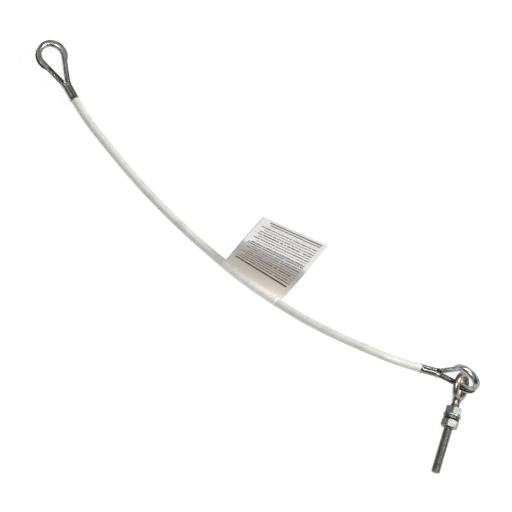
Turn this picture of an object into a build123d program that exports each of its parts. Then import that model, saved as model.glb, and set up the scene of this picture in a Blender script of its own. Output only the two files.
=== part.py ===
from build123d import *
from math import asin, cos, pi, radians, sin, tan
import os

# A short jacketed wire-rope sling with a thimble eye at each end, a folded label on the
# jacket, and an eye bolt with two nuts linked through one of the eyes. Millimetres, +Z up,
# the sling lying on the plane Z = 0 with its footprint centred on the origin.

# ---- rope and jacket
ROPE_D = 4.8
JACKET_D = 9.5
JACKET_BORE = 4.9
PRESSED_D = 4.3          # each leg of rope where the sleeve squeezes it
PRESSED_SPACING = 4.86   # between the two legs' centre lines in the sleeve
JOIN_DEPTH = 4.5         # inside the sleeve, where the loop's full diameter meets the pressed rope
LOOP_BEND_R = 14.0       # the largest bend where a leg leaves the sleeve
LOBE_RUN = 3.5           # straight run of the pressed main rope, in its lobe
JACKET_RUN = 3.0         # and on the jacket's centre line
TAIL_INSET = 6.5         # the loop's tail ends this far inside the sleeve's mouth
NOSE_LEN = 3.0           # the jacket tapers where it enters the sleeve
NOSE_WAIST_D = 8.9
NOSE_TIP_D = 7.0
NOSE_TIP_LEN = 1.5

# The jacket's centre line, from the left sleeve to the right one.
JACKET_ROUTE = [
    (-199.7, 189.1, 5.9),
    (-187.5, 166.1, 5.9),
    (-165.3, 136.0, 5.5),
    (-140.4, 102.8, 4.9),
    (-107.4, 63.1, 4.75),
    (-71.9, 25.9, 4.75),
    (-34.9, -12.2, 11.0),
    (4.1, -49.6, 22.0),
    (45.5, -84.9, 36.5),
    (84.0, -111.2, 46.6),
    (122.0, -131.9, 52.4),
    (154.2, -145.9, 51.7),
    (178.4, -149.3, 42.8),
]

# ---- swaged sleeves
SLEEVE_LEN = 21.0
SLEEVE_W = 10.4
SLEEVE_T = 7.2
SLEEVE_MOUTH = 10.3      # outside size of the flared mouth that takes the jacket
SLEEVE_FLARE_LEN = 3.0
END_FLARE_W = 1.6        # how much the eye end spreads in width
END_FLARE_T = 0.8        # and in thickness
SLEEVE_SLACK = 0.1       # round the rope in the bore and the bell
MOUTH_D = 9.2
JACKET_INSET = 1.5       # how far the jacket's end goes into the mouth
FLUTE_R = 2.0            # the long groove pressed between the two lobes
FLUTE_DEPTH = 0.6

# ---- thimbles
HOLE_R = 11.2
HOLE_LEN = 45.0          # inside length, from the point of the teardrop to the crown
CHANNEL_W = 7.2
CHANNEL_WALL = 1.1
GROOVE_R = 2.5
LIP_H = 6.4              # height of the lips above the inner surface, at the crown
LEG_LIP_H = 3.3          # along the legs, where the rope lies in a shallow trough
TIP_LIP_H = 2.8          # and at the points of the legs
TIP_S = 2.5              # from the sleeve's end to the point of the teardrop
TIP_GAP = 1.2

# ---- each eye: the middle of its sleeve's end, its long axis, the side of one leg
LEFT_EYE = (-208.9, 206.3, 5.9)
LEFT_ALONG = (-0.4425, 0.8905, 0.1053)
LEFT_SIDE = (-0.8299, -0.4820, 0.2809)
LEFT_SLEEVE = (-0.470, 0.883, 0.0)
RIGHT_EYE = (196.5, -151.9, 36.1)
RIGHT_ALONG = (0.7938, 0.0725, -0.6038)
RIGHT_SIDE = (-0.2630, 0.9361, -0.2334)
RIGHT_SLEEVE = (0.9304, -0.1320, -0.3420)

# ---- eye bolt, measured along its axis from the middle of the ring
RING_CENTRE = (220.9, -162.0, 21.5)
BOLT_AXIS = (-0.2805, -0.9455, -0.1660)
RING_NORMAL = (0.9075, -0.3170, 0.2745)
RING_R = 13.3            # to the middle of the ring's bar
RING_BAR_D = 7.4
NECK_D = 8.9
NECK_FLARE = 1.2         # the neck's extra radius at the ring
NECK_ROOT = 1.0          # how far the neck starts inside the ring's bar
THREAD_R = 5.0
THREAD_START = 20.5
BOLT_END = 99.2
END_CHAMFER = 1.0
FREE_END_MARK = 47.2     # a shallow groove beside the lower nut, where the free end starts
MARK_W = 0.7
MARK_DEPTH = 0.2

# ---- nuts and washers
NUT_FLATS = 17.0
NUT_H = 8.0
NUT_BORE_R = 5.05
NUT_CHAMFER = 0.8        # along the nut
NUT_CHAMFER_R = 1.5      # across it
UPPER_NUT_TURN = 10      # degrees, where each nut came to rest
LOWER_NUT_TURN = 22
UPPER_NUT_AT = 24.2
FLAT_WASHER_AT = 32.5
FLAT_WASHER_D = 20.0
FLAT_WASHER_BORE_R = 5.25
FLAT_WASHER_T = 2.0
LOCK_WASHER_AT = 34.7
LOCK_WASHER_D = 18.0
LOCK_WASHER_T = 2.2
LOCK_WASHER_RISE = 1.9   # how far apart its cut ends stand when it is loose
LOCK_WASHER_GAP_DEG = 8
LOWER_NUT_AT = 39.1

# ---- label
LABEL_BORE_R = 4.85
LABEL_WRAP_R = 5.25
LABEL_T = 0.6
LABEL_START = 258.0      # along the jacket
LABEL_W = 84.0
LABEL_LEFT_CREASE = (-16.5, -1.3, 51.5)
LABEL_LEFT_TOP = (6.7, 28.3, 48.1)
LABEL_RIGHT_CREASE = (53.6, -40.1, 54.1)
LABEL_RIGHT_TOP = (77.9, -10.9, 58.6)

LEG_ANGLE = asin(HOLE_R / (HOLE_LEN - HOLE_R))
CROWN_S = TIP_S + HOLE_LEN - HOLE_R
ROPE_OFFSET = CHANNEL_WALL + GROOVE_R


def eye_plane(middle, along, side):
    """Local X along the eye, local Y towards one of its legs."""
    x = Vector(*along).normalized()
    return Plane(origin=middle, x_dir=x, z_dir=x.cross(Vector(*side)).normalized())


def sleeve_plane(middle, direction, side):
    """Local Z along the sleeve from its jacket end to its eye end, local X across its width."""
    z = Vector(*direction).normalized()
    y = z.cross(Vector(*side)).normalized()
    return Plane(origin=middle, x_dir=y.cross(z), z_dir=z)


def bend_radii(points):
    """The largest arc that each corner's two runs allow."""
    radii = []
    for a, b, c in zip(points, points[1:], points[2:]):
        first, second = b - a, c - b
        half_turn = radians(first.get_angle(second)) / 2
        radii.append(0.45 * min(first.length, second.length) / tan(half_turn))
    return radii


def rounded_path(points, name):
    points = [Vector(*p) for p in points]
    radii = bend_radii(points)
    print(name, "radii", [round(r) for r in radii])
    return FilletPolyline(*points, radius=radii)


def tube(path, radius):
    """A round bar along a path."""
    return sweep(Plane(origin=path @ 0, z_dir=path % 0) * Circle(radius), path=path)


def round_bar(plane, r_low, r_high, length):
    """A cone or cylinder standing on a plane."""
    if abs(r_low - r_high) < 1e-9:
        return plane * Cylinder(r_low, length, align=(Align.CENTER, Align.CENTER, Align.MIN))
    return plane * Cone(r_low, r_high, length, align=(Align.CENTER, Align.CENTER, Align.MIN))


# ---- rope ------------------------------------------------------------------
def loop_path(eye, sleeve):
    """The rope's loop: out of the sleeve, round the thimble's groove and back in."""
    crown_r = HOLE_R + ROPE_OFFSET
    half = PRESSED_SPACING / 2
    corner_s = TIP_S + (half - ROPE_OFFSET / cos(LEG_ANGLE)) / tan(LEG_ANGLE)
    parts = []
    tangents = []
    for side in (1, -1):
        start = sleeve.from_local_coords(Vector(side * half, 0, -JOIN_DEPTH))
        corner = eye.from_local_coords(Vector(corner_s, side * half, 0))
        tangent = eye.from_local_coords(
            Vector(CROWN_S - crown_r * sin(LEG_ANGLE), side * crown_r * cos(LEG_ANGLE), 0)
        )
        points = [start, corner, tangent]
        radius = min(bend_radii(points)[0], LOOP_BEND_R)
        parts.append(FilletPolyline(*points, radius=[radius]))
        tangents.append(tangent)
    crown = ThreePointArc(
        tangents[0], eye.from_local_coords(Vector(CROWN_S + crown_r, 0, 0)), tangents[1]
    )
    return Wire(parts[0].edges() + crown.edges() + parts[1].edges())


def pressed_main(sleeve, jacket_end, jacket_dir):
    """The main rope inside the sleeve, easing from one lobe to the jacket's centre line."""
    half = PRESSED_SPACING / 2
    points = [
        sleeve.from_local_coords(Vector(-half, 0, -JOIN_DEPTH)),
        sleeve.from_local_coords(Vector(-half, 0, -JOIN_DEPTH - LOBE_RUN)),
        jacket_end - jacket_dir * JACKET_RUN,
        jacket_end,
    ]
    return FilletPolyline(*points, radius=[0.9 * r for r in bend_radii(points)])


def make_rope(eyes, sleeves, jacket_path):
    half = PRESSED_SPACING / 2
    rope = tube(jacket_path, ROPE_D / 2)
    ends = (
        (jacket_path @ 0, jacket_path % 0),
        (jacket_path @ 1, (jacket_path % 1) * -1),
    )
    for eye, sleeve, (end, direction) in zip(eyes, sleeves, ends):
        rope += tube(loop_path(eye, sleeve), ROPE_D / 2)
        rope += tube(pressed_main(sleeve, end, direction), PRESSED_D / 2)
        tail_start = sleeve.offset(-SLEEVE_LEN + TAIL_INSET) * Pos(half, 0, 0)
        rope += tail_start * Cylinder(
            PRESSED_D / 2,
            SLEEVE_LEN - TAIL_INSET - JOIN_DEPTH,
            align=(Align.CENTER, Align.CENTER, Align.MIN),
        )
    return rope


# ---- jacket ----------------------------------------------------------------
def nose_waste(end, direction):
    """What the taper takes off the jacket's end."""
    plane = Plane(origin=end, z_dir=direction)
    block = round_bar(plane, JACKET_D, JACKET_D, NOSE_LEN)
    tip = round_bar(plane, NOSE_TIP_D / 2, NOSE_WAIST_D / 2, NOSE_TIP_LEN)
    waist = round_bar(
        plane.offset(NOSE_TIP_LEN), NOSE_WAIST_D / 2, JACKET_D / 2 + 0.02, NOSE_LEN - NOSE_TIP_LEN
    )
    return block - tip - waist


def make_jacket(path):
    jacket = tube(path, JACKET_D / 2) - tube(path, JACKET_BORE / 2)
    jacket -= nose_waste(path @ 0, path % 0)
    jacket -= nose_waste(path @ 1, (path % 1) * -1)
    return jacket


# ---- sleeves ---------------------------------------------------------------
def make_sleeve(plane, loop):
    """An oval sleeve pressed onto both legs of rope, with a flared mouth for the jacket."""
    stations = (
        (-SLEEVE_LEN, SLEEVE_MOUTH, SLEEVE_MOUTH - 0.2),
        (-SLEEVE_LEN + SLEEVE_FLARE_LEN, SLEEVE_W, SLEEVE_T),
        (-SLEEVE_FLARE_LEN, SLEEVE_W, SLEEVE_T),
        (0.0, SLEEVE_W + END_FLARE_W, SLEEVE_T + END_FLARE_T),
    )
    sections = [
        plane.offset(at) * RectangleRounded(width, thick, thick * 0.46)
        for at, width, thick in stations
    ]
    sleeve = loft(sections, ruled=True)
    bore = SlotCenterToCenter(PRESSED_SPACING, PRESSED_D + SLEEVE_SLACK)
    sleeve -= extrude(plane.offset(-SLEEVE_LEN) * bore, SLEEVE_LEN)
    bell = SlotCenterToCenter(PRESSED_SPACING, ROPE_D + 2 * SLEEVE_SLACK)
    sleeve -= extrude(plane.offset(-JOIN_DEPTH) * bell, JOIN_DEPTH)
    sleeve -= tube(loop, ROPE_D / 2 + SLEEVE_SLACK)
    mouth = plane.offset(-SLEEVE_LEN)
    sleeve -= round_bar(mouth, MOUTH_D / 2, NOSE_TIP_D / 2 + 0.2, JACKET_INSET + 0.2)
    for side in (1, -1):
        flute = Pos(0, side * (SLEEVE_T / 2 + FLUTE_R - FLUTE_DEPTH), -SLEEVE_LEN / 2)
        sleeve -= plane * flute * Cylinder(FLUTE_R, SLEEVE_LEN - 2 * SLEEVE_FLARE_LEN)
    return sleeve


# ---- thimbles --------------------------------------------------------------
def hole_path(eye):
    """The thimble's inner line in plan: one leg, the crown and the other leg."""
    ends = []
    for side in (1, -1):
        tip = Vector(TIP_S + TIP_GAP, side * TIP_GAP * tan(LEG_ANGLE), 0)
        tangent = Vector(CROWN_S - HOLE_R * sin(LEG_ANGLE), side * HOLE_R * cos(LEG_ANGLE), 0)
        ends.append((eye.from_local_coords(tip), eye.from_local_coords(tangent)))
    crown = ThreePointArc(
        ends[0][1], eye.from_local_coords(Vector(CROWN_S + HOLE_R, 0, 0)), ends[1][1]
    )
    return Line(*ends[0]) + crown + Line(ends[1][1], ends[1][0])


def channel_section():
    """The channel's section: X outwards from the hole, Y across the channel."""
    half = CHANNEL_W / 2
    shell = Pos(half, 0) * Circle(half)
    shell += Pos((half + LIP_H) / 2, 0) * Rectangle(LIP_H - half, CHANNEL_W)
    groove = Pos(ROPE_OFFSET, 0) * Circle(GROOVE_R)
    groove += Pos(ROPE_OFFSET + LIP_H / 2, 0) * Rectangle(LIP_H, 2 * GROOVE_R)
    return shell - groove


def make_thimble(eye):
    path = hole_path(eye)
    outward = eye.x_dir * -sin(LEG_ANGLE) + eye.y_dir * cos(LEG_ANGLE)
    start = Plane(origin=path @ 0, x_dir=outward, z_dir=path % 0)
    channel = sweep(start * channel_section(), path=path)
    crown = Pos(CROWN_S, 0) * Circle(HOLE_R + LIP_H)
    leg_crown = Pos(CROWN_S, 0) * Circle(HOLE_R + LEG_LIP_H)
    tip = Pos(TIP_S + TIP_GAP, 0) * Circle(TIP_LIP_H)
    plan = crown + make_hull(leg_crown.edges() + tip.edges())
    return channel & extrude(eye * plan, CHANNEL_W, both=True)


# ---- label -----------------------------------------------------------------
def flag_section(start, crease, top):
    """One end of the flag: a thin bent strip in the plane of its three points."""
    start, crease, top = Vector(*start), Vector(*crease), Vector(*top)
    low, high = (crease - start).normalized(), (top - crease).normalized()
    normal = low.cross(high).normalized()
    low_side, high_side = normal.cross(low), normal.cross(high)
    mitre = (low_side + high_side) * (1 / (1 + low_side.dot(high_side)))
    half = LABEL_T / 2
    outline = [
        start + low_side * half,
        crease + mitre * half,
        top + high_side * half,
        top - high_side * half,
        crease - mitre * half,
        start - low_side * half,
    ]
    return Face(Wire.make_polygon(outline))


def stretch(path, start, length):
    """The part of a path between two distances along it."""
    kept = []
    done = 0.0
    for edge in path.edges():
        low = max(start - done, 0) / edge.length
        high = min(start + length - done, edge.length) / edge.length
        if low < 1 and high > 0:
            kept.append(edge.trim(low, high))
        done += edge.length
    return Wire(kept)


def make_label(jacket_path):
    """A printed sheet folded round the jacket and stuck to itself."""
    span = stretch(jacket_path, LABEL_START, LABEL_W)
    flag = loft(
        [
            flag_section(span @ 0, LABEL_LEFT_CREASE, LABEL_LEFT_TOP),
            flag_section(span @ 1, LABEL_RIGHT_CREASE, LABEL_RIGHT_TOP),
        ],
        ruled=True,
    )
    return tube(span, LABEL_WRAP_R) + flag - tube(jacket_path, LABEL_BORE_R)


# ---- eye bolt, nuts and washers --------------------------------------------
def bolt_plane():
    """Local Z along the bolt from the ring to the thread's end, local X along the ring's hole."""
    z = Vector(*BOLT_AXIS).normalized()
    y = z.cross(Vector(*RING_NORMAL)).normalized()
    return Plane(origin=RING_CENTRE, x_dir=y.cross(z), z_dir=z)


def make_eye_bolt(plane):
    bolt = plane * Rot(0, 90, 0) * Torus(RING_R, RING_BAR_D / 2)
    neck_start = RING_R - NECK_ROOT
    bolt += round_bar(
        plane.offset(neck_start), NECK_D / 2 + NECK_FLARE, NECK_D / 2, THREAD_START - neck_start
    )
    length = BOLT_END - THREAD_START
    shank = Cylinder(THREAD_R, length, align=(Align.CENTER, Align.CENTER, Align.MIN))
    shank = chamfer(shank.edges().filter_by(GeomType.CIRCLE).sort_by(Axis.Z)[-1], END_CHAMFER)
    hole = plane * Rot(0, 90, 0) * Cylinder(RING_R - RING_BAR_D / 2, 2 * RING_BAR_D)
    mark = plane.offset(FREE_END_MARK) * extrude(
        Circle(THREAD_R + 1) - Circle(THREAD_R - MARK_DEPTH), MARK_W
    )
    return bolt - hole + (plane.offset(THREAD_START) * shank - mark)


def make_nut(plane, at, turn):
    """A hexagon nut with its corners chamfered at both faces."""
    corner_r = NUT_FLATS / 2 / cos(radians(30))
    nut = extrude(RegularPolygon(corner_r, 6, rotation=turn), NUT_H)
    dome = Cylinder(corner_r, NUT_H, align=(Align.CENTER, Align.CENTER, Align.MIN))
    dome = chamfer(dome.edges().filter_by(GeomType.CIRCLE), NUT_CHAMFER, NUT_CHAMFER_R)
    bore = Cylinder(NUT_BORE_R, 3 * NUT_H)
    return plane.offset(at) * ((nut & dome) - bore)


def make_flat_washer(plane):
    washer = extrude(Circle(FLAT_WASHER_D / 2) - Circle(FLAT_WASHER_BORE_R), FLAT_WASHER_T)
    return plane.offset(FLAT_WASHER_AT) * washer


def make_lock_washer(plane):
    """A cut ring that climbs along a helix, so that its two ends stand apart."""
    sweep_deg = 360 - LOCK_WASHER_GAP_DEG
    helix = Helix(
        pitch=LOCK_WASHER_RISE * 360 / sweep_deg,
        height=LOCK_WASHER_RISE,
        radius=(LOCK_WASHER_D / 2 + FLAT_WASHER_BORE_R) / 2,
    )
    section = Plane(origin=helix @ 0, x_dir=(1, 0, 0), z_dir=(0, 1, 0)) * Rectangle(
        LOCK_WASHER_D / 2 - FLAT_WASHER_BORE_R, LOCK_WASHER_T
    )
    washer = sweep(section, path=helix, is_frenet=True)
    return plane.offset(LOCK_WASHER_AT + LOCK_WASHER_T / 2) * washer


def main():
    os.makedirs("parts", exist_ok=True)
    eyes = (
        eye_plane(LEFT_EYE, LEFT_ALONG, LEFT_SIDE),
        eye_plane(RIGHT_EYE, RIGHT_ALONG, RIGHT_SIDE),
    )
    sleeves = (
        sleeve_plane(LEFT_EYE, LEFT_SLEEVE, LEFT_SIDE),
        sleeve_plane(RIGHT_EYE, RIGHT_SLEEVE, RIGHT_SIDE),
    )
    jacket_path = rounded_path(JACKET_ROUTE, "jacket")
    bolt = bolt_plane()
    nodes = {
        "wire_rope": make_rope(eyes, sleeves, jacket_path),
        "cable_jacket": make_jacket(jacket_path),
        "left_thimble": make_thimble(eyes[0]),
        "right_thimble": make_thimble(eyes[1]),
        "left_ferrule": make_sleeve(sleeves[0], loop_path(eyes[0], sleeves[0])),
        "right_ferrule": make_sleeve(sleeves[1], loop_path(eyes[1], sleeves[1])),
        "label": make_label(jacket_path),
        "eye_bolt": make_eye_bolt(bolt),
        "upper_nut": make_nut(bolt, UPPER_NUT_AT, UPPER_NUT_TURN),
        "flat_washer": make_flat_washer(bolt),
        "lock_washer": make_lock_washer(bolt),
        "lower_nut": make_nut(bolt, LOWER_NUT_AT, LOWER_NUT_TURN),
    }
    for name, solid in nodes.items():
        export_step(solid, f"parts/{name}.step")
        box = solid.bounding_box()
        print(name, len(solid.solids()), round(solid.volume, 1), box.min, box.max)
    tube_volume = jacket_path.length * pi * (JACKET_D**2 - JACKET_BORE**2) / 4
    print("jacket length", jacket_path.length, "section x length", tube_volume)


main()
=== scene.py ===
import math

import bpy
from mathutils import Matrix, Vector


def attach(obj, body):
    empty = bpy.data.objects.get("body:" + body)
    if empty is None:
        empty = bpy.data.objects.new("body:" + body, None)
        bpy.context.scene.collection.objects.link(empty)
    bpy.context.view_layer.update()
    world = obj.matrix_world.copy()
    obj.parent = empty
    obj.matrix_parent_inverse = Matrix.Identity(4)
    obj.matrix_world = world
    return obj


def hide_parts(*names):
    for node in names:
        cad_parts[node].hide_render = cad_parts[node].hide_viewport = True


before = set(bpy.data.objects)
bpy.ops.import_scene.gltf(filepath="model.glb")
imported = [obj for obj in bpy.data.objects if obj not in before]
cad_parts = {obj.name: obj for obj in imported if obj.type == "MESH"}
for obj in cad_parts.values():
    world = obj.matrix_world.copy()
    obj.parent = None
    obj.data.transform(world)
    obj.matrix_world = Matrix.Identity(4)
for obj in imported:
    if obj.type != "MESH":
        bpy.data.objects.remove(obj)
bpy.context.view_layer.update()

MM = 0.001

# ---------------------------------------------------------------- camera
CAMERA_ELEVATION = math.radians(66)
CAMERA_DISTANCE = 18.0
VIEW_WIDTH = 0.558
SENSOR = 36.0
AIM = Vector((-0.0011, 0.003, 0.0))


def make_camera():
    """A long lens from afar, so that the view is nearly parallel."""
    data = bpy.data.cameras.new("camera")
    camera = bpy.data.objects.new("camera", data)
    bpy.context.scene.collection.objects.link(camera)
    back = Vector((0, -math.cos(CAMERA_ELEVATION), math.sin(CAMERA_ELEVATION)))
    camera.location = AIM + back * CAMERA_DISTANCE
    camera.rotation_mode = "QUATERNION"
    camera.rotation_quaternion = (-back).to_track_quat("-Z", "Y")
    data.sensor_width = SENSOR
    data.lens = SENSOR * CAMERA_DISTANCE / VIEW_WIDTH
    data.clip_start = 1.0
    data.clip_end = 60
    bpy.context.scene.camera = camera


make_camera()

# ---------------------------------------------------------------- sizes, in mm
JACKET_D = 9.5
JACKET_ROUTE = [
    (-199.7, 189.1, 5.9),
    (-187.5, 166.1, 5.9),
    (-165.3, 136.0, 5.5),
    (-140.4, 102.8, 4.9),
    (-107.4, 63.1, 4.75),
    (-71.9, 25.9, 4.75),
    (-34.9, -12.2, 11.0),
    (4.1, -49.6, 22.0),
    (45.5, -84.9, 36.5),
    (84.0, -111.2, 46.6),
    (122.0, -131.9, 52.4),
    (154.2, -145.9, 51.7),
    (178.4, -149.3, 42.8),
]
NOSE_LEN = 3.0           # the jacket's ends taper where the sleeves grip them
NOSE_TIP_D = 7.0

ROPE_D = 4.8
ROPE_LAY = 31.0          # one full turn of a strand round the rope
STRANDS = 6
WIRES = 6
ROPE_GAP = 4.86          # between the two legs' centre lines in the sleeve
JOIN_DEPTH = 4.5         # how far inside the sleeve the loop starts

HOLE_R = 11.2            # the thimble's teardrop hole
HOLE_LEN = 45.0
TIP_S = 2.5              # from the sleeve's end to the point of the teardrop
ROPE_OFFSET = 3.6        # from the hole's edge to the rope's centre line
CROWN_S = TIP_S + HOLE_LEN - HOLE_R
LEG_ANGLE = math.asin(HOLE_R / (HOLE_LEN - HOLE_R))

# Each eye: the middle of its sleeve's end, its long axis, the side of one leg.
LEFT_EYE = ((-208.9, 206.3, 5.9), (-0.4425, 0.8905, 0.1053), (-0.8299, -0.4820, 0.2809))
LEFT_SLEEVE = (-0.470, 0.883, 0.0)
RIGHT_EYE = ((196.5, -151.9, 36.1), (0.7938, 0.0725, -0.6038), (-0.2630, 0.9361, -0.2334))
RIGHT_SLEEVE = (0.9304, -0.1320, -0.3420)

# The eye bolt, measured along its axis from the middle of the ring.
RING_CENTRE = (220.9, -162.0, 21.5)
BOLT_AXIS = (-0.2805, -0.9455, -0.1660)
RING_NORMAL = (0.9075, -0.3170, 0.2745)
RING_R = 13.3
RING_BAR_R = 3.7
NECK_R = 4.45
THREAD_R = 5.0
THREAD_PITCH = 1.5
THREAD_DEPTH = 0.78
THREAD_START = 20.5
BOLT_END = 99.2
END_CHAMFER = 1.0

# The label: each side edge of its flag, from the jacket to the crease and to the top.
LABEL_LEFT = ((-36.5, -10.3, 11.2), (-16.5, -1.3, 51.5), (6.7, 28.3, 48.1))
LABEL_RIGHT = ((24.0, -66.6, 29.0), (53.6, -40.1, 54.1), (77.9, -10.9, 58.6))
LABEL_T = 0.5
CREASE_AT = 46.5 / 83.3  # as a share of the way up
CREASE_SOFT = 0.04       # half of the share that the crease rounds off
HOLLOW = Vector((0, 2.0, -4.5))  # how far the lower panel sags in its middle
WRAP_R = 4.98
WRAP_T = 0.3
WRAP_START = 258.0       # along the jacket
WRAP_END = 342.0

# ---------------------------------------------------------------- fineness of the meshes
ROUTE_STEPS = 24         # per point of the jacket's route
JACKET_SIDES = 28
WRAP_SIDES = 32
ROPE_STEP = 0.5 * MM
RING_SIDES = 96
BAR_SIDES = 28
RING_VOXEL = 0.42 * MM
THREAD_SIDES = 48
RINGS_PER_PITCH = 14
LABEL_COLUMNS = 60
LABEL_ROWS = 64


# ---------------------------------------------------------------- small helpers
def link(name, data):
    piece = bpy.data.objects.new(name, data)
    bpy.context.scene.collection.objects.link(piece)
    return piece


def mesh_piece(name, points, faces, smooth=True):
    mesh = bpy.data.meshes.new(name)
    mesh.from_pydata([tuple(p) for p in points], [], faces)
    mesh.update()
    if smooth:
        mesh.shade_smooth()
    return link(name, mesh)


def ring_faces(rings, around, start=0):
    """Quads that join rings of points, each with the same number round it."""
    faces = []
    for i in range(rings - 1):
        for j in range(around):
            a = start + i * around + j
            b = start + i * around + (j + 1) % around
            faces.append((a, b, b + around, a + around))
    return faces


def tube_faces(rings, around, start=0):
    """The same with a cap at each end."""
    faces = ring_faces(rings, around, start)
    faces.append(tuple(range(start, start + around))[::-1])
    last = start + (rings - 1) * around
    faces.append(tuple(range(last, last + around)))
    return faces


def circle(centre, a, b, radius, sides):
    """Points round a centre, in the plane of two directions."""
    turns = (math.tau * j / sides for j in range(sides))
    return [centre + (a * math.cos(turn) + b * math.sin(turn)) * radius for turn in turns]


def quadratic(a, b, c, k):
    """A point on the curve from a to c that bends towards b."""
    return a * (1 - k) ** 2 + b * 2 * k * (1 - k) + c * k * k


def apply_modifiers(piece):
    """Give the piece the mesh that its modifiers make."""
    result = bpy.data.meshes.new_from_object(
        piece.evaluated_get(bpy.context.evaluated_depsgraph_get())
    )
    piece.modifiers.clear()
    piece.data = result
    result.name = piece.name


def placed(origin, x, y, z):
    """A matrix in metres from mm coordinates along three directions."""
    rotation = Matrix((x, y, z)).transposed().to_4x4()
    return Matrix.Translation(Vector(origin) * MM) @ rotation @ Matrix.Scale(MM, 4)


def nurbs_points(route):
    """The points of a smooth spline whose control points are the route's, in metres."""
    curve = bpy.data.curves.new("route", "CURVE")
    curve.dimensions = "3D"
    curve.resolution_u = ROUTE_STEPS
    spline = curve.splines.new("NURBS")
    spline.points.add(len(route) - 1)
    for point, place in zip(spline.points, route):
        point.co = (*(Vector(place) * MM), 1)
    spline.order_u = 3
    spline.use_endpoint_u = True
    holder = bpy.data.objects.new("route", curve)
    mesh = bpy.data.meshes.new_from_object(holder)
    points = [v.co.copy() for v in mesh.vertices]
    bpy.data.objects.remove(holder)
    bpy.data.curves.remove(curve)
    bpy.data.meshes.remove(mesh)
    return points


def carried_frames(points):
    """At each point of a line, the point and two cross directions, carried along without twist."""
    frames = []
    side = None
    for i, p in enumerate(points):
        tangent = (points[min(i + 1, len(points) - 1)] - points[max(i - 1, 0)]).normalized()
        if side is None:
            side = tangent.orthogonal().normalized()
        side = (side - tangent * side.dot(tangent)).normalized()
        frames.append((p, side, tangent.cross(side)))
    return frames


def lengths_along(points):
    done = [0.0]
    for a, b in zip(points, points[1:]):
        done.append(done[-1] + (b - a).length)
    return done


def resampled(points, step):
    """Points an even step apart along a line."""
    along = lengths_along(points)
    count = max(2, round(along[-1] / step))
    out = []
    i = 0
    for k in range(count + 1):
        want = along[-1] * k / count
        while i < len(points) - 2 and along[i + 1] < want:
            i += 1
        span = along[i + 1] - along[i]
        out.append(points[i].lerp(points[i + 1], (want - along[i]) / span if span else 0))
    return out


# ---------------------------------------------------------------- shader helpers
def node_material(name, base, metallic, roughness):
    material = bpy.data.materials.new(name)
    material.use_nodes = True
    shader = material.node_tree.nodes["Principled BSDF"]
    shader.inputs["Base Color"].default_value = (*base, 1)
    shader.inputs["Metallic"].default_value = metallic
    shader.inputs["Roughness"].default_value = roughness
    return material, material.node_tree, shader


def add(tree, kind, **settings):
    node = tree.nodes.new(kind)
    for name, value in settings.items():
        setattr(node, name, value)
    return node


def noise_node(tree, scale, detail=3.0, rough=0.5):
    """Noise over the object's own coordinates, in repeats per metre."""
    place = add(tree, "ShaderNodeTexCoord")
    node = add(tree, "ShaderNodeTexNoise")
    node.inputs["Scale"].default_value = scale
    node.inputs["Detail"].default_value = detail
    node.inputs["Roughness"].default_value = rough
    tree.links.new(place.outputs["Object"], node.inputs["Vector"])
    return node


def ramp(tree, source, stops):
    """A colour ramp; a stop is a place and a colour, or a place and a grey."""
    node = add(tree, "ShaderNodeValToRGB")
    elements = node.color_ramp.elements
    while len(elements) < len(stops):
        elements.new(0.5)
    for element, (at, colour) in zip(elements, stops):
        element.position = at
        element.color = (*colour, 1) if hasattr(colour, "__len__") else (colour, colour, colour, 1)
    tree.links.new(source, node.inputs["Fac"])
    return node


def bump(tree, shader, source, strength, distance):
    node = add(tree, "ShaderNodeBump")
    node.inputs["Strength"].default_value = strength
    node.inputs["Distance"].default_value = distance
    tree.links.new(source, node.inputs["Height"])
    tree.links.new(node.outputs["Normal"], shader.inputs["Normal"])


def maths(tree, kind, a, b=None):
    """One step of arithmetic on numbers or sockets."""
    node = add(tree, "ShaderNodeMath", operation=kind)
    for socket, value in zip(node.inputs, (a, b)):
        if isinstance(value, (int, float)):
            socket.default_value = value
        elif value is not None:
            tree.links.new(value, socket)
    return node.outputs[0]


def product(tree, first, *others):
    for other in others:
        first = maths(tree, "MULTIPLY", first, other)
    return first


def between(tree, value, low, high):
    """1 where the value lies between the two, else 0."""
    above = maths(tree, "GREATER_THAN", value, low)
    return product(tree, above, maths(tree, "LESS_THAN", value, high))


# ---------------------------------------------------------------- metal and vinyl
METAL_GRAIN = 2600.0     # repeats per metre
METAL_GRAIN_DEPTH = 0.00004


def metal(name, dark, light, rough_low, rough_high, patch=140.0):
    """Worked metal: cloudy patches of tone, fine grain and uneven roughness."""
    material, tree, shader = node_material(name, light, 1.0, rough_low)
    clouds = noise_node(tree, patch, 4.0, 0.6)
    tone = ramp(tree, clouds.outputs["Fac"], [(0.3, dark), (0.65, light)])
    tree.links.new(tone.outputs["Color"], shader.inputs["Base Color"])
    fine = noise_node(tree, METAL_GRAIN, 4.0, 0.6)
    roughness = ramp(tree, fine.outputs["Fac"], [(0.3, rough_low), (0.7, rough_high)])
    tree.links.new(roughness.outputs["Color"], shader.inputs["Roughness"])
    bump(tree, shader, fine.outputs["Fac"], 0.35, METAL_GRAIN_DEPTH)
    return material


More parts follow.
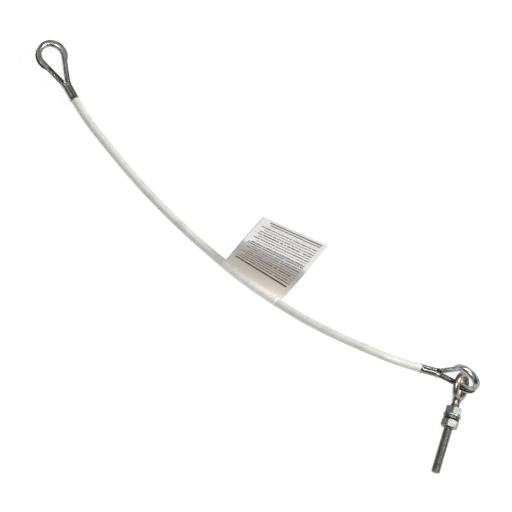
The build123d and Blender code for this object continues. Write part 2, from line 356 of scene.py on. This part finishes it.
def vinyl():
    """White vinyl with faint handling marks and a slightly uneven skin."""
    material, tree, shader = node_material("white_vinyl", (0.575, 0.582, 0.548), 0.0, 0.32)
    marks = noise_node(tree, 60.0, 5.0, 0.65)
    tone = ramp(
        tree,
        marks.outputs["Fac"],
        [(0.28, (0.465, 0.468, 0.425)), (0.45, (0.56, 0.567, 0.533)), (0.8, (0.615, 0.622, 0.592))],
    )
    tree.links.new(tone.outputs["Color"], shader.inputs["Base Color"])
    skin = noise_node(tree, 420.0, 3.0, 0.5)
    gloss = ramp(tree, skin.outputs["Fac"], [(0.3, 0.26), (0.7, 0.4)])
    tree.links.new(gloss.outputs["Color"], shader.inputs["Roughness"])
    bump(tree, shader, skin.outputs["Fac"], 0.2, 0.00012)
    shader.inputs["Subsurface Weight"].default_value = 0.08
    shader.inputs["Subsurface Radius"].default_value = (0.002, 0.002, 0.0018)
    shader.inputs["Coat Weight"].default_value = 0.25
    shader.inputs["Coat Roughness"].default_value = 0.18
    return material


ZINC = metal("zinc_plate", (0.2, 0.2, 0.19), (0.5, 0.5, 0.485), 0.16, 0.32)
SLEEVE_METAL = metal("sleeve_metal", (0.17, 0.17, 0.163), (0.36, 0.36, 0.35), 0.2, 0.34, 220.0)
STRAND_METAL = metal("strand_metal", (0.05, 0.048, 0.044), (0.24, 0.233, 0.222), 0.25, 0.45, 500.0)
BOLT_METAL = metal("bolt_metal", (0.17, 0.155, 0.13), (0.38, 0.355, 0.31), 0.22, 0.4, 180.0)
SHANK_METAL = metal("shank_metal", (0.13, 0.127, 0.115), (0.27, 0.262, 0.238), 0.38, 0.56, 300.0)
NUT_METAL = metal("nut_metal", (0.2, 0.2, 0.193), (0.38, 0.38, 0.368), 0.42, 0.58, 200.0)
WASHER_METAL = metal("washer_metal", (0.2, 0.2, 0.19), (0.4, 0.4, 0.38), 0.3, 0.46, 260.0)
# Nearly black: painted shade for the dark gaps between the nuts and the washers.
LOCK_WASHER_PAINTED_SHADE = metal("lock_washer_painted_shade", (0.07, 0.068, 0.062), (0.2, 0.195, 0.18), 0.3, 0.46, 300.0)
VINYL = vinyl()

# ---------------------------------------------------------------- printed film
# The paper's own colour is the last of these three. The first is painted light at the foot, and the
# second is painted shade under the crease.
PAPER_FOOT_PAINTED_LIGHT = (0.7, 0.665, 0.59)
PAPER_PAINTED_SHADE_UNDER_CREASE = (0.48, 0.45, 0.395)
PAPER_HIGH = (0.61, 0.6, 0.59)
INK = (0.04, 0.033, 0.033)
UV_NAME = "print"

# Places on the label are shares of its width (u) and of the way up from the jacket (v).
PRINT_ROWS = 28.0        # over the whole height
PRINT_V = (0.285, 0.895)
PRINT_U = (0.06, 0.93)
ROW_INKED = 0.42         # the printed share of each row's height
ROW_INDENT = 0.11        # the most that a row starts further in
INDENT_STEP = 0.382      # from row to row, which makes the indents uneven
WEIGHT_STEP = 0.618      # does the same for the weights
WEIGHT_LOW = 0.45        # the faintest row
WEIGHT_SPREAD = 0.5
WORDS_ACROSS = 60.0      # cells of noise over the whole width
WORDS_APART = 7.31       # from row to row, so that no two rows break alike
WORD_GAP = 0.4           # noise below this leaves a gap
BOLD_LINES = (           # v from and to, u from and to, weight
    (0.95, 0.968, 0.14, 0.93, 0.85),
    (0.918, 0.934, 0.17, 0.93, 0.75),
    (0.595, 0.607, 0.07, 0.93, 0.65),
    (0.232, 0.256, 0.07, 0.92, 0.95),
)


def stepped(tree, row, step):
    """A number from 0 to 1 that jumps from row to row."""
    return maths(tree, "FRACT", maths(tree, "MULTIPLY", row, step))


def print_rows(tree, u, v):
    """Rows of unreadable marks, uneven in their starts, breaks and weight."""
    height = maths(tree, "MULTIPLY", v, PRINT_ROWS)
    row = maths(tree, "FLOOR", height)
    line = maths(tree, "LESS_THAN", maths(tree, "FRACT", height), ROW_INKED)
    spread = add(tree, "ShaderNodeCombineXYZ")
    tree.links.new(maths(tree, "MULTIPLY", u, WORDS_ACROSS), spread.inputs["X"])
    tree.links.new(maths(tree, "MULTIPLY", row, WORDS_APART), spread.inputs["Y"])
    words = add(tree, "ShaderNodeTexNoise")
    words.inputs["Scale"].default_value = 1.0
    words.inputs["Detail"].default_value = 2.0
    tree.links.new(spread.outputs["Vector"], words.inputs["Vector"])
    inked = maths(tree, "GREATER_THAN", words.outputs["Fac"], WORD_GAP)
    indent = maths(tree, "MULTIPLY", stepped(tree, row, INDENT_STEP), ROW_INDENT)
    left, right = PRINT_U
    column = between(tree, u, maths(tree, "ADD", indent, left), right)
    weight = maths(tree, "MULTIPLY", stepped(tree, row, WEIGHT_STEP), WEIGHT_SPREAD)
    weight = maths(tree, "ADD", weight, WEIGHT_LOW)
    return product(tree, line, inked, column, between(tree, v, *PRINT_V), weight)


def label_material():
    """A printed film: rows of generic marks, a bold heading and a bold line above a bare foot, with
    painted shade under the crease and painted light towards the foot.
    """
    material, tree, shader = node_material("label_print", PAPER_HIGH, 0.0, 0.45)
    uv = add(tree, "ShaderNodeUVMap", uv_map=UV_NAME)
    split = add(tree, "ShaderNodeSeparateXYZ")
    tree.links.new(uv.outputs["UV"], split.inputs["Vector"])
    u, v = split.outputs["X"], split.outputs["Y"]
    ink = print_rows(tree, u, v)
    for low, high, start, end, weight in BOLD_LINES:
        bold = product(tree, between(tree, v, low, high), between(tree, u, start, end), weight)
        ink = maths(tree, "MAXIMUM", ink, bold)
    # Painted light at the foot and painted shade under the crease, over the paper's own colour above
    # the crease.
    paper_with_painted_shade = ramp(tree, v, [(0.05, PAPER_FOOT_PAINTED_LIGHT), (0.4, PAPER_PAINTED_SHADE_UNDER_CREASE), (0.58, PAPER_HIGH)])
    # In a mix of colours, inputs 6 and 7 are the two colours and output 2 is the result.
    mix = add(tree, "ShaderNodeMix", data_type="RGBA")
    tree.links.new(ink, mix.inputs["Factor"])
    tree.links.new(paper_with_painted_shade.outputs["Color"], mix.inputs[6])
    mix.inputs[7].default_value = (*INK, 1)
    tree.links.new(mix.outputs[2], shader.inputs["Base Color"])
    crinkle = noise_node(tree, 160.0, 2.0, 0.5)
    bump(tree, shader, crinkle.outputs["Fac"], 0.25, 0.0004)
    return material


def film_material():
    """The same film without print, where it wraps the jacket, painted lighter than the flag's paper:
    painted light that lifts the shade the flag casts on it.
    """
    material, tree, shader = node_material("label_film_painted_light", (0.7, 0.68, 0.64), 0.0, 0.4)
    crinkle = noise_node(tree, 200.0, 2.0, 0.5)
    tone = ramp(tree, crinkle.outputs["Fac"], [(0.3, (0.64, 0.615, 0.57)), (0.7, (0.73, 0.71, 0.665))])
    tree.links.new(tone.outputs["Color"], shader.inputs["Base Color"])
    bump(tree, shader, crinkle.outputs["Fac"], 0.3, 0.0003)
    return material


LABEL_PRINT = label_material()
LABEL_FILM_PAINTED_LIGHT = film_material()


def finish_with(piece, material):
    piece.data.materials.clear()
    piece.data.materials.append(material)


# ---------------------------------------------------------------- jacket
NOSE_STATIONS = (0, 0.4, 0.9, 1.6, 2.4, 3.0, 4.0)


def jacket_radius(from_end):
    """The jacket's radius at a distance from its nearer end, rounded off over the nose."""
    inset = from_end / (NOSE_LEN * MM)
    shoulder = math.sqrt(max(0.0, 1 - (1 - min(inset, 1)) ** 2))
    return (NOSE_TIP_D + (JACKET_D - NOSE_TIP_D) * shoulder) / 2 * MM


def make_jacket():
    """The vinyl jacket: a tube on the route's spline, with close rings at its rounded ends."""
    path = nurbs_points(JACKET_ROUTE)
    along = lengths_along(path)
    total = along[-1]
    stations = [s * MM for s in NOSE_STATIONS]
    line = [p for p, s in zip(path, along) if stations[-1] < s < total - stations[-1]]
    head, tail = [], []
    for s in stations:
        head.append(path[0].lerp(path[1], s / along[1]))
        tail.append(path[-1].lerp(path[-2], s / (total - along[-2])))
    centres = head + line + tail[::-1]
    done = lengths_along(centres)
    points = []
    for (p, a, b), s in zip(carried_frames(centres), done):
        points += circle(p, a, b, jacket_radius(min(s, done[-1] - s)), JACKET_SIDES)
    piece = mesh_piece("cable_jacket_tube", points, tube_faces(len(centres), JACKET_SIDES))
    finish_with(piece, VINYL)
    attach(piece, "sling")
    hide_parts("cable_jacket")


make_jacket()

# ---------------------------------------------------------------- rope in the eyes
BEND_STEPS = 12
BEND_END = 0.35          # the share of each straight leg that the bend by the sleeve takes
LEG_STEPS = 8
CROWN_STEPS = 40
WIRE_LAY = 0.45          # the wires' own twist, as a share of the rope's lay
WIRE_RELIEF = 0.2        # how deep the hollows between the wires are, as a share of the strand


def loop_points(eye, sleeve_dir):
    """The rope's centre line round one thimble, from inside the sleeve and back."""
    origin, along, side_dir = (Vector(v) for v in eye)
    eye_x = along.normalized()
    eye_z = eye_x.cross(side_dir).normalized()
    eye_place = placed(origin, eye_x, eye_z.cross(eye_x), eye_z)
    sleeve_z = Vector(sleeve_dir).normalized()
    sleeve_x = sleeve_z.cross(side_dir).normalized().cross(sleeve_z)
    half = ROPE_GAP / 2
    crown_r = HOLE_R + ROPE_OFFSET
    corner_s = TIP_S + (half - ROPE_OFFSET / math.cos(LEG_ANGLE)) / math.tan(LEG_ANGLE)

    def local(s, t):
        return eye_place @ Vector((s, t, 0))

    def leg(side):
        start = (origin + sleeve_x * side * half - sleeve_z * JOIN_DEPTH) * MM
        corner = local(corner_s, side * half)
        tangent_s = CROWN_S - crown_r * math.sin(LEG_ANGLE)
        tangent = local(tangent_s, side * crown_r * math.cos(LEG_ANGLE))
        bend_end = corner.lerp(tangent, BEND_END)
        points = [quadratic(start, corner, bend_end, i / BEND_STEPS) for i in range(BEND_STEPS + 1)]
        for i in range(1, LEG_STEPS + 1):
            points.append(corner.lerp(tangent, BEND_END + (1 - BEND_END) * i / LEG_STEPS))
        return points

    crown = []
    sweep = math.pi / 2 + LEG_ANGLE
    for i in range(1, CROWN_STEPS):
        turn = sweep - 2 * sweep * i / CROWN_STEPS
        crown.append(local(CROWN_S + crown_r * math.cos(turn), crown_r * math.sin(turn)))
    return resampled(leg(1) + crown + leg(-1)[::-1], ROPE_STEP)


def make_strands(name, path):
    """Six strands laid round a core, each a bundle of wires with its own twist."""
    sides = 4 * WIRES
    strand_r = ROPE_D * MM / 6
    lay_r = ROPE_D * MM / 2 - strand_r
    along = lengths_along(path)
    points, faces = [], []
    frames = carried_frames(path)
    for strand in range(STRANDS + 1):
        core = strand == STRANDS
        centres = []
        for (p, a, b), s in zip(frames, along):
            turn = math.tau * (s / (ROPE_LAY * MM) + strand / STRANDS)
            offset = 0 if core else lay_r
            centres.append(p + (a * math.cos(turn) + b * math.sin(turn)) * offset)
        faces += tube_faces(len(centres), sides, len(points))
        for (p, a, b), s in zip(carried_frames(centres), along):
            twist = math.tau * s / (ROPE_LAY * MM * WIRE_LAY)
            for j in range(sides):
                turn = math.tau * j / sides
                lobe = abs(math.cos(WIRES * (turn + twist) / 2))
                radius = strand_r * (1 - WIRE_RELIEF + WIRE_RELIEF * lobe)
                points.append(p + (a * math.cos(turn) + b * math.sin(turn)) * radius)
    piece = mesh_piece(name, points, faces)
    finish_with(piece, STRAND_METAL)
    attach(piece, "sling")
    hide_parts("wire_rope")


make_strands("left_eye_rope", loop_points(LEFT_EYE, LEFT_SLEEVE))
make_strands("right_eye_rope", loop_points(RIGHT_EYE, RIGHT_SLEEVE))

# ---------------------------------------------------------------- eye bolt
# The neck from inside the ring's bar to inside the thread: distance along the bolt, radius.
NECK_PROFILE = (
    (RING_R - 2.2, 1.5),
    (RING_R - 1.2, 4.6),
    (RING_R + 1.2, 5.5),
    (RING_R + 3.4, 5.0),
    (RING_R + 5.4, NECK_R),
    (THREAD_START - 0.4, NECK_R),
    (THREAD_START + 0.6, NECK_R),
)
CREST_FLAT = 0.12        # of half a pitch
FLANK = 0.66


def bolt_frame():
    """Local Z along the bolt, local X along the ring's hole."""
    z = Vector(BOLT_AXIS).normalized()
    y = z.cross(Vector(RING_NORMAL)).normalized()
    return placed(RING_CENTRE, y.cross(z), y, z)


def upright_circle(z, radius, sides):
    """Points round the bolt's axis, in its own frame."""
    return circle(Vector((0, 0, z)), Vector((1, 0, 0)), Vector((0, 1, 0)), radius, sides)


def make_ring():
    """The forged ring and its neck, blended into one skin."""
    points, faces = [], []
    for i in range(RING_SIDES):
        turn = math.tau * i / RING_SIDES
        for j in range(BAR_SIDES):
            tip = math.tau * j / BAR_SIDES
            r = RING_R + RING_BAR_R * math.cos(tip)
            points.append((RING_BAR_R * math.sin(tip), r * math.sin(turn), r * math.cos(turn)))
            here, there = i * BAR_SIDES, (i + 1) % RING_SIDES * BAR_SIDES
            k = (j + 1) % BAR_SIDES
            faces.append((here + j, here + k, there + k, there + j))
    faces += tube_faces(len(NECK_PROFILE), BAR_SIDES, len(points))
    for z, r in NECK_PROFILE:
        points += upright_circle(z, r, BAR_SIDES)
    place = bolt_frame()
    piece = mesh_piece("eye_bolt_ring", [place @ Vector(p) for p in points], faces)
    remesh = piece.modifiers.new("skin", "REMESH")
    remesh.mode = "VOXEL"
    remesh.voxel_size = RING_VOXEL
    remesh.use_smooth_shade = True
    smooth = piece.modifiers.new("smooth", "SMOOTH")
    smooth.factor = 0.5
    smooth.iterations = 6
    apply_modifiers(piece)
    return piece


def thread_radius(z, turn):
    """A rolled thread's radius: flats at crest and root, slopes between."""
    phase = (z / THREAD_PITCH - turn / math.tau) % 1.0
    wave = abs(2 * phase - 1)
    cut = min(1.0, max(0.0, (wave - CREST_FLAT) / FLANK))
    radius = THREAD_R - THREAD_DEPTH * cut
    return min(radius, THREAD_R - END_CHAMFER + (BOLT_END - z))


def make_thread():
    """The shank's helical thread as real geometry."""
    rings = int((BOLT_END - THREAD_START) / THREAD_PITCH * RINGS_PER_PITCH)
    points = []
    for i in range(rings + 1):
        z = THREAD_START + (BOLT_END - THREAD_START) * i / rings
        for j in range(THREAD_SIDES):
            turn = math.tau * j / THREAD_SIDES
            r = thread_radius(z, turn)
            points.append((r * math.cos(turn), r * math.sin(turn), z))
    place = bolt_frame()
    faces = tube_faces(rings + 1, THREAD_SIDES)
    return mesh_piece("eye_bolt_thread", [place @ Vector(p) for p in points], faces)


for part, material in ((make_ring(), BOLT_METAL), (make_thread(), SHANK_METAL)):
    finish_with(part, material)
    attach(part, "bolt")
    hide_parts("eye_bolt")


# ---------------------------------------------------------------- label
def lower_panel(start, crease, k):
    """From the jacket to the crease, hollow in the middle."""
    return start.lerp(crease, k) + HOLLOW * 4 * k * (1 - k)


def flag_edge(profile, v):
    """A point on one side edge of the flag, rounded off at the crease."""
    start, crease, top = profile
    if v < CREASE_AT - CREASE_SOFT:
        return lower_panel(start, crease, v / CREASE_AT)
    if v > CREASE_AT + CREASE_SOFT:
        return crease.lerp(top, (v - CREASE_AT) / (1 - CREASE_AT))
    below = lower_panel(start, crease, (CREASE_AT - CREASE_SOFT) / CREASE_AT)
    above = crease.lerp(top, CREASE_SOFT / (1 - CREASE_AT))
    return quadratic(below, crease, above, (v - CREASE_AT + CREASE_SOFT) / (2 * CREASE_SOFT))


def make_label():
    """The folded flag: a soft bent sheet from the jacket up to the crease and over to its edge."""
    points, faces, where = [], [], []
    left = [Vector(p) for p in LABEL_LEFT]
    right = [Vector(p) for p in LABEL_RIGHT]
    for i in range(LABEL_ROWS + 1):
        v = i / LABEL_ROWS
        for j in range(LABEL_COLUMNS + 1):
            u = j / LABEL_COLUMNS
            points.append(flag_edge(left, v).lerp(flag_edge(right, v), u) * MM)
            where.append((u, v))
    wide = LABEL_COLUMNS + 1
    for i in range(LABEL_ROWS):
        for j in range(LABEL_COLUMNS):
            a = i * wide + j
            faces.append((a, a + 1, a + 1 + wide, a + wide))
    piece = mesh_piece("label_flag", points, faces)
    layer = piece.data.uv_layers.new(name=UV_NAME)
    for loop in piece.data.loops:
        layer.data[loop.index].uv = where[loop.vertex_index]
    thick = piece.modifiers.new("thickness", "SOLIDIFY")
    thick.thickness = LABEL_T * MM
    thick.offset = 0
    apply_modifiers(piece)
    finish_with(piece, LABEL_PRINT)
    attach(piece, "sling")
    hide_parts("label")


def make_wrap():
    """The part of the film that goes round the jacket: an outer and an inner skin."""
    path = nurbs_points(JACKET_ROUTE)
    along = lengths_along(path)
    line = [p for p, s in zip(path, along) if WRAP_START * MM < s < WRAP_END * MM]
    points = []
    for radius in (WRAP_R * MM, (WRAP_R - WRAP_T) * MM):
        for p, a, b in carried_frames(line):
            points += circle(p, a, b, radius, WRAP_SIDES)
    inner = len(line) * WRAP_SIDES
    last = inner - WRAP_SIDES
    faces = ring_faces(len(line), WRAP_SIDES)
    faces += [f[::-1] for f in ring_faces(len(line), WRAP_SIDES, inner)]
    for j in range(WRAP_SIDES):
        k = (j + 1) % WRAP_SIDES
        faces.append((k, j, inner + j, inner + k))
        faces.append((last + j, last + k, inner + last + k, inner + last + j))
    piece = mesh_piece("label_wrap", points, faces)
    # The rims at both ends stay flat, so that their shading doesn't spread over the film.
    for rim in list(piece.data.polygons)[-2 * WRAP_SIDES:]:
        rim.use_smooth = False
    finish_with(piece, LABEL_FILM_PAINTED_LIGHT)
    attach(piece, "sling")
    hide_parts("label")


make_label()
make_wrap()

# ---------------------------------------------------------------- carried-over CAD nodes
CARRIED = {
    "left_thimble": ZINC,
    "right_thimble": ZINC,
    "left_ferrule": SLEEVE_METAL,
    "right_ferrule": SLEEVE_METAL,
    "upper_nut": NUT_METAL,
    "flat_washer": WASHER_METAL,
    "lock_washer": LOCK_WASHER_PAINTED_SHADE,
    "lower_nut": NUT_METAL,
}
for node, material in CARRIED.items():
    for place in bpy.data.objects[node].material_slots:
        place.link = "OBJECT"
        place.material = material

# ---------------------------------------------------------------- floor and light
FLOOR_HALF = 3.0
FLOOR_GREY = 0.25
FLOOR_GLOW = 0.78
WORLD_STRENGTH = 0.9
SKY = [(0.0, 0.02), (0.45, 0.08), (0.7, 0.35), (1.0, 0.9)]


def make_stage():
    """A white light table, which keeps the shadows thin."""
    corners = [(x * FLOOR_HALF, y * FLOOR_HALF, 0) for x, y in ((-1, -1), (1, -1), (1, 1), (-1, 1))]
    floor = mesh_piece("floor", corners, [(0, 1, 2, 3)], smooth=False)
    material, _, shader = node_material("floor_paint", (FLOOR_GREY,) * 3, 0.0, 0.9)
    shader.inputs["Emission Color"].default_value = (1, 1, 1, 1)
    shader.inputs["Emission Strength"].default_value = FLOOR_GLOW
    finish_with(floor, material)


def make_light(name, place, size, power):
    """A square soft box that faces the origin."""
    data = bpy.data.lights.new(name, "AREA")
    data.size = size
    data.energy = power
    lamp = link(name, data)
    lamp.location = place
    lamp.rotation_mode = "QUATERNION"
    lamp.rotation_quaternion = (-Vector(place)).to_track_quat("-Z", "Y")


def make_world():
    """A dim room that is brighter overhead, so that bare metal has something dark to mirror."""
    world = bpy.data.worlds.new("studio")
    bpy.context.scene.world = world
    world.use_nodes = True
    tree = world.node_tree
    background = tree.nodes["Background"]
    place = add(tree, "ShaderNodeTexCoord")
    split = add(tree, "ShaderNodeSeparateXYZ")
    tree.links.new(place.outputs["Generated"], split.inputs["Vector"])
    sky = ramp(tree, split.outputs["Z"], SKY)
    tree.links.new(sky.outputs["Color"], background.inputs["Color"])
    background.inputs["Strength"].default_value = WORLD_STRENGTH


make_stage()
make_light("key", (2.8, 0.48, 2.08), 1.12, 105)
make_light("fill", (0.1, -0.7, 1.9), 1.0, 22)
make_world()
bpy.context.scene.view_settings.view_transform = "Standard"
